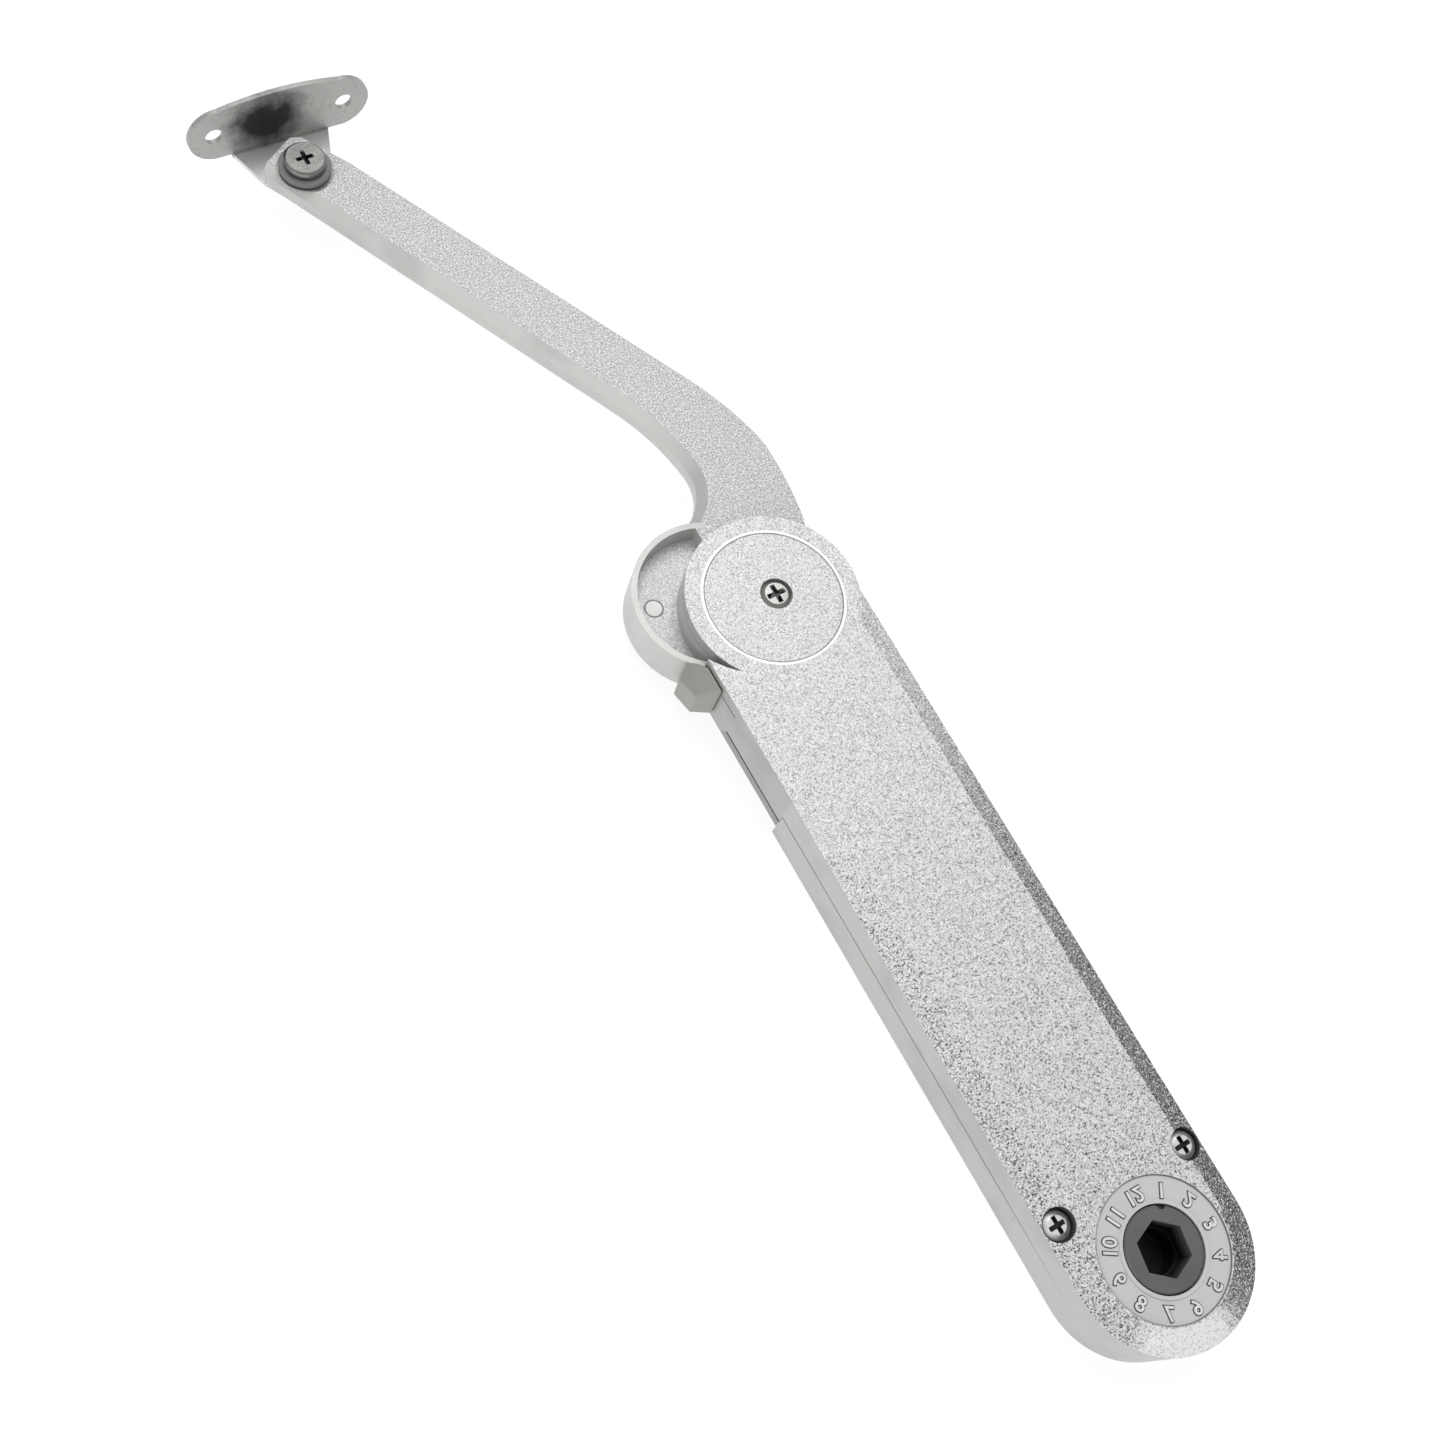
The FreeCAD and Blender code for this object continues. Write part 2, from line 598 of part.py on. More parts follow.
os.makedirs("parts", exist_ok=True)
save(back_shell(), "back_shell")
save(front_cover(), "front_cover")
save(stop_block(), "stop_block")
save(arm(), "arm")
save(cam_plate(), "cam_plate")
save(cam_pin(), "cam_pin")
save(pivot_shaft(), "pivot_shaft")
save(washer(3.5, hub_top, shaft_r + 0.05, shaft_r + 1.49), "pivot_bush")
save(washer(floor_t, 3.35, shaft_r + 0.05, 8.5), "back_washer")
save(washer(hub_top + 0.1, ring_bottom, shaft_r + 0.05, 14.0), "front_washer")
save(cap_disc(), "cap_disc")
save(cap_screw(), "cap_screw")
save(body_screws(), "body_screws")
save(slider(), "slider")
save(roller(), "roller")
save(roller_pin(), "roller_pin")
save(springs(), "springs")
save(spring_guides(), "spring_guides")
save(spring_seat(), "spring_seat")
save(snail_cam(), "snail_cam")
save(adjuster(), "adjuster")
save(damper_cylinder(), "damper_cylinder")
save(damper_rod(), "damper_rod")
save(bracket(), "bracket")
save(bracket_bush(), "bracket_bush")
save(bracket_washer(), "bracket_washer")
save(bracket_screw(), "bracket_screw")
save(bracket_nut(), "bracket_nut")
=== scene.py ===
import math
import bpy
import bmesh
from mathutils import Vector, Matrix


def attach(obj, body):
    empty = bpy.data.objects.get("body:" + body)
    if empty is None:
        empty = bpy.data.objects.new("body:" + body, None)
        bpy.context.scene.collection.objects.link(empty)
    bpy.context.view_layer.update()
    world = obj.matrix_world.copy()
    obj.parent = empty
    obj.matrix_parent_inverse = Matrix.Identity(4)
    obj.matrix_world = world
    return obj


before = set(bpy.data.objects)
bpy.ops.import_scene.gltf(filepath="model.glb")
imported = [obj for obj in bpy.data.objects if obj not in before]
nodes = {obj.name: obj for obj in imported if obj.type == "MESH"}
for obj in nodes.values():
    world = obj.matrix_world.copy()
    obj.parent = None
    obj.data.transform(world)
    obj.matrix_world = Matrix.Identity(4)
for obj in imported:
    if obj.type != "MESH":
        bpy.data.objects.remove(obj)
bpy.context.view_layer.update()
print("frame loaded", len(nodes))

mm = 0.001
plus, minus, times = {"operation": "ADD"}, {"operation": "SUBTRACT"}, {"operation": "MULTIPLY"}
plusHeld = {"operation": "ADD", "use_clamp": True}  # held means kept between 0 and 1
minusHeld = {"operation": "SUBTRACT", "use_clamp": True}
overColour = {"data_type": "RGBA"}  # a Mix node of colours has its share on 0 and its colours on 6 and 7
dialX, dialY, dialR = -1.0, -155.5, 14.3


# sRGB hex to linear colour
def colour(hexText):
    vals = []
    for i in (0, 2, 4):
        c = int(hexText[i:i + 2], 16) / 255
        vals.append(c / 12.92 if c <= 0.04045 else ((c + 0.055) / 1.055) ** 2.4)
    return (vals[0], vals[1], vals[2], 1.0)


# adds one node and gives back its outputs; inputs go in order or by name, a socket is linked and a value is set
def addNode(tree, kind, settings, inputs):
    node = tree.nodes.new("ShaderNode" + kind)
    for key, value in settings.items():
        setattr(node, key, value)
    for key, value in inputs.items() if isinstance(inputs, dict) else enumerate(inputs):
        if isinstance(value, bpy.types.NodeSocket):
            tree.links.new(value, node.inputs[key])
        else:
            node.inputs[key].default_value = value
    return node.outputs


def startMaterial(name):
    mat = bpy.data.materials.new(name)
    mat.use_nodes = True
    mat.node_tree.nodes.clear()
    return mat, mat.node_tree


# ends a material; numbers that are the same all over sit on the shader's own sockets
def endMaterial(mat, inputs):
    surface = addNode(mat.node_tree, "BsdfPrincipled", {}, inputs)["BSDF"]
    addNode(mat.node_tree, "OutputMaterial", {}, {"Surface": surface})
    return mat


def metres(sizes):
    return [size * mm for size in sizes]


# object coordinates, whole and as x, y, z
def placeOf(tree):
    coord = addNode(tree, "TexCoord", {}, ())["Object"]
    return coord, addNode(tree, "SeparateXYZ", {}, (coord,))


# distance from an upright axis
def radiusFrom(tree, xyz, x, y):
    dx = addNode(tree, "Math", minus, (xyz[0], x * mm))[0]
    dy = addNode(tree, "Math", minus, (xyz[1], y * mm))[0]
    dxSquare = addNode(tree, "Math", times, (dx, dx))[0]
    dySquare = addNode(tree, "Math", times, (dy, dy))[0]
    square = addNode(tree, "Math", plus, (dxSquare, dySquare))[0]
    return addNode(tree, "Math", {"operation": "SQRT"}, (square,))[0]


# inside a radius round an upright axis and below a height, for painting shade into recesses
def recess(tree, xyz, place):
    x, y, topZ, reach = place
    radius = radiusFrom(tree, xyz, x, y)
    inside = addNode(tree, "MapRange", {}, (radius, *metres((reach, reach - 0.1))))[0]
    below = addNode(tree, "MapRange", {}, (xyz[2], *metres((topZ - 0.12, topZ - 0.3))))[0]
    return addNode(tree, "Math", times, (inside, below))[0]


# thin line round an upright axis
def ringLine(tree, xyz, x, y, radiusMm, halfMm):
    radius = radiusFrom(tree, xyz, x, y)
    offset = addNode(tree, "Math", minus, (radius, radiusMm * mm))[0]
    away = addNode(tree, "Math", {"operation": "ABSOLUTE"}, (offset,))[0]
    return addNode(tree, "MapRange", {}, (away, *metres((halfMm, halfMm * 0.5))))[0]


# Textured powder coat on cast zinc: powder fused over the casting leaves a raised grain on the faces that look up.
# The eye gets pale grey broken by dark pits and bright tips, bolder towards the dial. Slopes to the right get painted
# shade, slopes to the left carry deeper pits, and the slope at the dial end gets painted light and fewer pits. Walls
# and edges are satin.
coatSet = {
    # slope is the colour of the painted shade on right slopes; bright is also the painted light on the dial end slope
    "face": "d9d8d7", "slope": "5c5b5a", "smooth": "bab9b7", "dark": "262524", "bright": "ffffff",
    "grainMm": 0.36, "pitMm": 0.612,  # anything finer doesn't show in the render, so both are drawn this coarse
    "cloudMm": 20.0, "cloudRange": (0.47, 0.62), "cloudShare": 0.14,
    "pits": (0.46, 0.3), "deepPits": (0.49, 0.38), "tips": (0.54, 0.66), "tipShare": 0.75,
    "leastUp": 0.6,  # a face that leans more than this is smooth
    # pits and the painted shade on right slopes both grow towards the dial
    "towardsDial": (-20.0, -150.0), "pitsFar": 0.5, "pitsNear": 0.45, "rightShadeFar": 0.25, "rightShadeNear": 0.3,
    # leanRight and steepRight place the painted shade on slopes that lean right, and deeper pits there
    "leanRight": (0.008, 0.022), "rightShare": 0.2, "leanLeft": (-0.05, -0.16), "leftShare": 0.5,
    "steepRight": (0.1, 0.2), "steepShare": 0.3,
    # the dialEnd keys place the painted light and the fewer pits on the slope at the dial end
    "dialEndWay": (-0.309, -0.951), "dialEndLean": (0.19, 0.232), "dialEndCalm": 0.55,
    "roughness": 0.36, "grainRoughness": 0.12, "metallic": 0.2, "bumpMm": 0.09, "bumpStrength": 0.9,
    "wells": (), "wellShare": 0.85,
}


# colour of the smooth walls and edges, with soft uneven handling marks
def smoothColour(tree, coord, opts):
    cloud = addNode(tree, "TexNoise", {}, {"Vector": coord, "Scale": 1 / (opts["cloudMm"] * mm), "Detail": 3.0,
                                           "Roughness": 0.55})[0]
    marks = addNode(tree, "MapRange", {}, (cloud, *opts["cloudRange"]))[0]
    share = addNode(tree, "Math", times, (marks, opts["cloudShare"]))[0]
    return addNode(tree, "Mix", overColour, {0: share, 6: colour(opts["smooth"]), 7: colour(opts["dark"])})[2]


# grained colour, its grain, and where it shows: on faces that look up, above lowZ
def grainedColour(tree, coord, xyz, lowZ, opts):
    normal = addNode(tree, "NewGeometry", {}, ())["True Normal"]
    lean = addNode(tree, "SeparateXYZ", {}, (normal,))
    grain = addNode(tree, "TexNoise", {}, {"Vector": coord, "Scale": 1 / (opts["grainMm"] * mm), "Detail": 1.0,
                                           "Roughness": 0.5})[0]
    coarse = addNode(tree, "TexNoise", {}, {"Vector": coord, "Scale": 1 / (opts["pitMm"] * mm), "Detail": 2.0,
                                            "Roughness": 0.5})[0]
    upward = addNode(tree, "MapRange", {}, (lean[2], opts["leastUp"] - 0.05, opts["leastUp"]))[0]
    high = addNode(tree, "MapRange", {}, (xyz[2], *metres((lowZ - 0.2, lowZ))))[0]
    shown = addNode(tree, "Math", times, (upward, high))[0]
    right = addNode(tree, "MapRange", {}, (lean[0], *opts["leanRight"]))[0]
    left = addNode(tree, "MapRange", {}, (lean[0], *opts["leanLeft"]))[0]
    steep = addNode(tree, "MapRange", {}, (lean[0], *opts["steepRight"]))[0]
    steep = addNode(tree, "Math", times, (steep, opts["steepShare"]))[0]
    endX = addNode(tree, "Math", times, (lean[0], opts["dialEndWay"][0]))[0]
    endY = addNode(tree, "Math", times, (lean[1], opts["dialEndWay"][1]))[0]
    endLean = addNode(tree, "Math", plus, (endX, endY))[0]
    dialEnd = addNode(tree, "MapRange", {}, (endLean, *opts["dialEndLean"]))[0]
    nearDial = addNode(tree, "MapRange", {}, (xyz[1], *metres(opts["towardsDial"])))[0]

    # pits: a base amount that grows towards the dial, with deeper ones on the slopes
    pits = addNode(tree, "MapRange", {}, (grain, *opts["pits"]))[0]
    tips = addNode(tree, "MapRange", {}, (grain, *opts["tips"]))[0]
    deepPits = addNode(tree, "MapRange", {}, (coarse, *opts["deepPits"]))[0]
    gain = addNode(tree, "Math", times, (nearDial, opts["pitsNear"]))[0]
    weight = addNode(tree, "Math", plus, (gain, opts["pitsFar"]))[0]
    pits = addNode(tree, "Math", times, (pits, weight))[0]
    leftShare = addNode(tree, "Math", times, (left, opts["leftShare"]))[0]
    rightShare = addNode(tree, "Math", times, (right, opts["rightShare"]))[0]
    slopes = addNode(tree, "Math", plus, (leftShare, rightShare))[0]
    slopes = addNode(tree, "Math", plus, (slopes, steep))[0]
    deepPits = addNode(tree, "Math", times, (slopes, deepPits))[0]
    pits = addNode(tree, "Math", plusHeld, (pits, deepPits))[0]
    calming = addNode(tree, "Math", times, (dialEnd, opts["dialEndCalm"]))[0]
    calm = addNode(tree, "Math", minus, (1.0, calming))[0]
    pits = addNode(tree, "Math", times, (pits, calm))[0]

    # ground under the pits: face, then painted shade on the right slope, then painted light on the dial end slope
    fade = addNode(tree, "Math", times, (nearDial, opts["rightShadeNear"]))[0]
    fade = addNode(tree, "Math", plus, (fade, opts["rightShadeFar"]))[0]
    fade = addNode(tree, "Math", plus, (fade, steep))[0]
    # painted shade on slopes that lean right, stronger where steep and towards the dial
    rightSlopeShade = addNode(tree, "Math", times, (right, calm))[0]
    rightSlopeShade = addNode(tree, "Math", times, (rightSlopeShade, fade))[0]
    ground = addNode(tree, "Mix", overColour, {0: rightSlopeShade, 6: colour(opts["face"]), 7: colour(opts["slope"])})[2]
    # painted light on the dial end slope
    ground = addNode(tree, "Mix", overColour, {0: dialEnd, 6: ground, 7: colour(opts["bright"])})[2]
    grained = addNode(tree, "Mix", overColour, {0: pits, 6: ground, 7: colour(opts["dark"])})[2]
    tips = addNode(tree, "Math", times, (tips, opts["tipShare"]))[0]
    grained = addNode(tree, "Mix", overColour, {0: tips, 6: grained, 7: colour(opts["bright"])})[2]
    return grained, grain, shown


# dark seam line where tray and cover meet, and the shade inside the window in the left wall
seamSet = {
    "seamZ": 9.2, "width": (0.26, 0.14), "seamStart": (-42.9, -43.1), "seamFade": (-158.0, -130.0), "seamShare": 0.9,
    "windowY": (-43.0, -42.8), "windowX": (-17.0, -17.5), "windowShare": 0.14, "lowZ": (3.6, 3.4), "lowShare": 0.22,
}


def withSeam(tree, xyz, smooth, opts, dark):
    offset = addNode(tree, "Math", minus, (xyz[2], opts["seamZ"] * mm))[0]
    away = addNode(tree, "Math", {"operation": "ABSOLUTE"}, (offset,))[0]
    line = addNode(tree, "MapRange", {}, (away, *metres(opts["width"])))[0]
    start = addNode(tree, "MapRange", {}, (xyz[1], *metres(opts["seamStart"])))[0]
    fade = addNode(tree, "MapRange", {}, (xyz[1], *metres(opts["seamFade"])))[0]
    along = addNode(tree, "Math", times, (start, fade))[0]
    seam = addNode(tree, "Math", times, (line, along))[0]
    seam = addNode(tree, "Math", times, (seam, opts["seamShare"]))[0]
    smooth = addNode(tree, "Mix", overColour, {0: seam, 6: smooth, 7: colour(dark)})[2]
    windowEnd = addNode(tree, "MapRange", {}, (xyz[1], *metres(opts["windowY"])))[0]
    windowSide = addNode(tree, "MapRange", {}, (xyz[0], *metres(opts["windowX"])))[0]
    window = addNode(tree, "Math", times, (windowEnd, windowSide))[0]
    low = addNode(tree, "MapRange", {}, (xyz[2], *metres(opts["lowZ"])))[0]
    low = addNode(tree, "Math", times, (low, opts["lowShare"]))[0]
    shade = addNode(tree, "Math", plus, (opts["windowShare"], low))[0]
    shade = addNode(tree, "Math", times, (window, shade))[0]
    return addNode(tree, "Mix", overColour, {0: shade, 6: smooth, 7: colour(dark)})[2]


# lays the grained coat over the smooth one where shown says, raised by its own grain, and shades the screw wells
def endCoat(mat, xyz, smooth, grained, grain, shown, opts):
    tree = mat.node_tree
    tint = addNode(tree, "Mix", overColour, {0: shown, 6: smooth, 7: grained})[2]
    for place in opts["wells"]:
        shade = addNode(tree, "Math", times, (recess(tree, xyz, place), opts["wellShare"]))[0]
        tint = addNode(tree, "Mix", overColour, {0: shade, 6: tint, 7: colour(opts["dark"])})[2]
    rougher = addNode(tree, "Math", times, (shown, opts["grainRoughness"]))[0]
    rough = addNode(tree, "Math", plus, (opts["roughness"], rougher))[0]
    height = addNode(tree, "Math", times, (grain, shown))[0]
    bump = addNode(tree, "Bump", {}, {"Strength": opts["bumpStrength"], "Distance": opts["bumpMm"] * mm,
                                      "Height": height})[0]
    return endMaterial(mat, {"Base Color": tint, "Roughness": rough, "Normal": bump, "Metallic": opts["metallic"]})


# front cover: grained top and slopes, smooth dial bed with a dark line at its rim, shade down the screw wells
coverSet = dict(coatSet, lowZ=15.8, bedEdge=(dialR + 0.15, dialR + 0.05), bedRim=(dialR - 0.22, dialR - 0.05),
                bedShare=0.4, rimShare=0.7,
                wells=((-17.4, -141.2, 18.0, 3.5), (15.4, -141.2, 18.0, 3.5)))


def coverCoat(name, opts):
    mat, tree = startMaterial(name)
    coord, xyz = placeOf(tree)
    smooth = smoothColour(tree, coord, opts)
    grained, grain, shown = grainedColour(tree, coord, xyz, opts["lowZ"], opts)
    radius = radiusFrom(tree, xyz, dialX, dialY)
    bed = addNode(tree, "MapRange", {}, (radius, *metres(opts["bedEdge"])))[0]
    outside = addNode(tree, "Math", minus, (1.0, bed))[0]
    shown = addNode(tree, "Math", times, (shown, outside))[0]
    rim = addNode(tree, "MapRange", {}, (radius, *metres(opts["bedRim"])))[0]
    rim = addNode(tree, "Math", times, (bed, rim))[0]
    bed = addNode(tree, "Math", times, (bed, opts["bedShare"]))[0]
    smooth = addNode(tree, "Mix", overColour, {0: bed, 6: smooth, 7: colour(opts["bright"])})[2]
    rim = addNode(tree, "Math", times, (rim, opts["rimShare"]))[0]
    smooth = addNode(tree, "Mix", overColour, {0: rim, 6: smooth, 7: colour(opts["dark"])})[2]
    smooth = withSeam(tree, xyz, smooth, seamSet, opts["dark"])
    return endCoat(mat, xyz, smooth, grained, grain, shown, opts)


# arm: the same coat a shade darker, with painted light on the lobe's low floor, a smooth rim round the lobe and a
# painted shadow line round the foot of the pin
armSet = dict(coatSet, leastUp=0.93, face="c1c0bf", smooth="c6c5c3", lowZ=9.0, floorZ=(9.7, 9.5), floorShare=0.3,
              pinX=-22.3, pinY=11.5, pinR=2.0, pinLine=0.3, pinShare=0.75,
              rimX=-10.85, rimY=7.67, rimIn=(16.3, 16.4), rimOut=(18.0, 17.9), rimSide=(-3.0, -4.0))


def armCoat(name, opts):
    mat, tree = startMaterial(name)
    coord, xyz = placeOf(tree)
    smooth = smoothColour(tree, coord, opts)
    grained, grain, shown = grainedColour(tree, coord, xyz, opts["lowZ"], opts)
    # painted light on the low floor of the lobe's pocket
    lowFloor = addNode(tree, "MapRange", {}, (xyz[2], *metres(opts["floorZ"])))[0]
    share = addNode(tree, "Math", times, (lowFloor, opts["floorShare"]))[0]
    grained = addNode(tree, "Mix", overColour, {0: share, 6: grained, 7: colour(opts["bright"])})[2]
    # painted shadow line round the foot of the pin
    pinFoot = ringLine(tree, xyz, opts["pinX"], opts["pinY"], opts["pinR"], opts["pinLine"])
    pinFoot = addNode(tree, "Math", times, (pinFoot, lowFloor))[0]
    pinFoot = addNode(tree, "Math", times, (pinFoot, opts["pinShare"]))[0]
    grained = addNode(tree, "Mix", overColour, {0: pinFoot, 6: grained, 7: colour(opts["dark"])})[2]
    away = radiusFrom(tree, xyz, opts["rimX"], opts["rimY"])
    rimIn = addNode(tree, "MapRange", {}, (away, *metres(opts["rimIn"])))[0]
    rimOut = addNode(tree, "MapRange", {}, (away, *metres(opts["rimOut"])))[0]
    rim = addNode(tree, "Math", times, (rimIn, rimOut))[0]
    side = addNode(tree, "MapRange", {}, (xyz[0], *metres(opts["rimSide"])))[0]
    rim = addNode(tree, "Math", times, (rim, side))[0]
    outside = addNode(tree, "Math", minus, (1.0, rim))[0]
    shown = addNode(tree, "Math", times, (shown, outside))[0]
    return endCoat(mat, xyz, smooth, grained, grain, shown, opts)


# cap: grained face inside a bare metal bead painted near white as the glint off its polished edge, with a thin
# painted shadow line between them
capSet = dict(coatSet, lowZ=15.0, beadR=15.82, bead="fbfaf8", lineIn=0.15, lineHalf=0.2, lineShare=0.6)


def capCoat(name, opts):
    mat, tree = startMaterial(name)
    coord, xyz = placeOf(tree)
    smooth = smoothColour(tree, coord, opts)
    grained, grain, shown = grainedColour(tree, coord, xyz, opts["lowZ"], opts)
    radius = radiusFrom(tree, xyz, 0.0, 0.0)
    bead = addNode(tree, "MapRange", {}, (radius, *metres((opts["beadR"] - 0.04, opts["beadR"]))))[0]
    inside = addNode(tree, "Math", minus, (1.0, bead))[0]
    shown = addNode(tree, "Math", times, (shown, inside))[0]
    # the bead is painted near white as the glint off its polished edge
    smooth = addNode(tree, "Mix", overColour, {0: bead, 6: smooth, 7: colour(opts["bead"])})[2]
    # thin painted shadow line just inside the bead
    line = ringLine(tree, xyz, 0.0, 0.0, opts["beadR"] - opts["lineIn"], opts["lineHalf"])
    line = addNode(tree, "Math", times, (line, opts["lineShare"]))[0]
    grained = addNode(tree, "Mix", overColour, {0: line, 6: grained, 7: colour(opts["dark"])})[2]
    return endCoat(mat, xyz, smooth, grained, grain, shown, opts)


# Satin paint on cast zinc, for the tray and the blocks inside: even pale grey with a soft shine and faint handling
# marks, no grain, and the dark seam line under the cover.
def shellPaint(name, opts):
    mat, tree = startMaterial(name)
    coord, xyz = placeOf(tree)
    smooth = withSeam(tree, xyz, smoothColour(tree, coord, opts), seamSet, opts["dark"])
    return endMaterial(mat, {"Base Color": smooth, "Roughness": opts["roughness"], "Metallic": opts["metallic"]})


# Dull zinc plate on pressed steel: soft grey with dark speckles, and a darker patch off the middle of the
# flange that fades out in an uneven edge. The leg below gets painted light.
plateSet = {
    "face": "b0afad", "dark": "2b2b2b", "light": "ffffff", "wideMm": 6.25, "fineMm": 0.9091,
    "patchX": -47.5, "patchZ": 16.5, "reachX": 10.5, "reachZ": 9.0, "patchUneven": 1.2, "patchEdge": (1.05, 0.45),
    "patchFace": (154.0, 156.0), "patchShare": 0.95,
    "speckles": (0.55, 0.68), "speckleAreas": (0.42, 0.6), "speckleShare": 0.45,
    "legY": (156.2, 155.6), "legShare": 0.45,
    "roughness": 0.4, "roughnessSpread": 0.15, "metallic": 0.75, "bumpMm": 0.006, "bumpStrength": 0.3,
}


def plateMetal(name, opts):
    mat, tree = startMaterial(name)
    coord, xyz = placeOf(tree)
    wide = addNode(tree, "TexNoise", {}, {"Vector": coord, "Scale": 1 / (opts["wideMm"] * mm), "Detail": 3.0,
                                          "Roughness": 0.6})[0]
    fine = addNode(tree, "TexNoise", {}, {"Vector": coord, "Scale": 1 / (opts["fineMm"] * mm), "Detail": 3.0,
                                          "Roughness": 0.65})[0]
    dx = addNode(tree, "Math", minus, (xyz[0], opts["patchX"] * mm))[0]
    dx = addNode(tree, "Math", {"operation": "DIVIDE"}, (dx, opts["reachX"] * mm))[0]
    dz = addNode(tree, "Math", minus, (xyz[2], opts["patchZ"] * mm))[0]
    dz = addNode(tree, "Math", {"operation": "DIVIDE"}, (dz, opts["reachZ"] * mm))[0]
    dxSquare = addNode(tree, "Math", times, (dx, dx))[0]
    dzSquare = addNode(tree, "Math", times, (dz, dz))[0]
    square = addNode(tree, "Math", plus, (dxSquare, dzSquare))[0]
    away = addNode(tree, "Math", {"operation": "SQRT"}, (square,))[0]
    uneven = addNode(tree, "Math", minus, (wide, 0.5))[0]
    uneven = addNode(tree, "Math", times, (uneven, opts["patchUneven"]))[0]
    away = addNode(tree, "Math", plus, (away, uneven))[0]
    patch = addNode(tree, "MapRange", {}, (away, *opts["patchEdge"]))[0]
    onFlange = addNode(tree, "MapRange", {}, (xyz[1], *metres(opts["patchFace"])))[0]
    patch = addNode(tree, "Math", times, (patch, onFlange))[0]
    patch = addNode(tree, "Math", times, (patch, opts["patchShare"]))[0]
    speckles = addNode(tree, "MapRange", {}, (fine, *opts["speckles"]))[0]
    areas = addNode(tree, "MapRange", {}, (wide, *opts["speckleAreas"]))[0]
    speckles = addNode(tree, "Math", times, (speckles, areas))[0]
    speckles = addNode(tree, "Math", times, (speckles, opts["speckleShare"]))[0]
    # painted light on the leg below the flange
    leg = addNode(tree, "MapRange", {}, (xyz[1], *metres(opts["legY"])))[0]
    leg = addNode(tree, "Math", times, (leg, opts["legShare"]))[0]
    tint = addNode(tree, "Mix", overColour, {0: speckles, 6: colour(opts["face"]), 7: colour(opts["dark"])})[2]
    tint = addNode(tree, "Mix", overColour, {0: patch, 6: tint, 7: colour(opts["dark"])})[2]
    tint = addNode(tree, "Mix", overColour, {0: leg, 6: tint, 7: colour(opts["light"])})[2]
    rougher = addNode(tree, "Math", times, (fine, opts["roughnessSpread"]))[0]
    rough = addNode(tree, "Math", plus, (opts["roughness"], rougher))[0]
    bump = addNode(tree, "Bump", {}, {"Strength": opts["bumpStrength"], "Distance": opts["bumpMm"] * mm,
                                      "Height": fine})[0]
    return endMaterial(mat, {"Base Color": tint, "Roughness": rough, "Normal": bump, "Metallic": opts["metallic"]})


# bare and plated metals: bright reflections broken by fine lines one way, a dull bloom in places, painted shade down
# the slots
metalSet = {
    "slotShade": "141414", "bloom": "404040", "bloomMm": 6.667, "bloomRange": (0.35, 0.7), "bloomShare": 0.25,
    "roughnessSpread": 0.25, "bumpMm": 0.004, "bumpStrength": 0.4, "slots": (),
}
slotPlaces = ((-17.4, -141.2, 16.7, 2.0), (15.4, -141.2, 16.7, 2.0), (0.9, 0.5, 18.1, 2.3), (-44.2, 142.3, 18.1, 2.1))


def metalFinish(name, opts):
    mat, tree = startMaterial(name)
    coord, xyz = placeOf(tree)
    stretched = addNode(tree, "Mapping", {}, {"Vector": coord, "Scale": (1.0, opts["stretch"], opts["stretch"])})[0]
    lines = addNode(tree, "TexNoise", {}, {"Vector": stretched, "Scale": 1 / (opts["lineMm"] * opts["stretch"] * mm),
                                           "Detail": 2.0, "Roughness": 0.6})[0]
    cloud = addNode(tree, "TexNoise", {}, {"Vector": coord, "Scale": 1 / (opts["bloomMm"] * mm), "Detail": 2.0,
                                           "Roughness": 0.5})[0]
    spread = addNode(tree, "Math", minus, (lines, 0.5))[0]
    spread = addNode(tree, "Math", times, (spread, opts["roughnessSpread"]))[0]
    rough = addNode(tree, "Math", plus, (opts["roughness"], spread))[0]
    bloom = addNode(tree, "MapRange", {}, (cloud, *opts["bloomRange"]))[0]
    bloom = addNode(tree, "Math", times, (bloom, opts["bloomShare"]))[0]
    tint = addNode(tree, "Mix", overColour, {0: bloom, 6: colour(opts["tint"]), 7: colour(opts["bloom"])})[2]
    metallic = 1.0
    # painted shade down each listed slot: dark and less metallic inside it
    for place in opts["slots"]:
        slotShade = recess(tree, xyz, place)
        tint = addNode(tree, "Mix", overColour, {0: slotShade, 6: tint, 7: colour(opts["slotShade"])})[2]
        metallic = addNode(tree, "Math", minusHeld, (metallic, slotShade))[0]
    bump = addNode(tree, "Bump", {}, {"Strength": opts["bumpStrength"], "Distance": opts["bumpMm"] * mm,
                                      "Height": lines})[0]
    return endMaterial(mat, {"Base Color": tint, "Roughness": rough, "Normal": bump, "Metallic": metallic})


# painted, moulded and cast surfaces: one colour with slight orange peel, uneven gloss and a faint cloud
plainSet = {
    "cloud": "303030", "cloudMm": 8.333, "cloudRange": (0.4, 0.7), "cloudShare": 0.15, "peelMm": 0.8,
    "roughnessSpread": 0.2, "metallic": 0.0, "bumpMm": 0.01, "bumpStrength": 0.4, "hole": "0c0c0c", "holes": (),
}


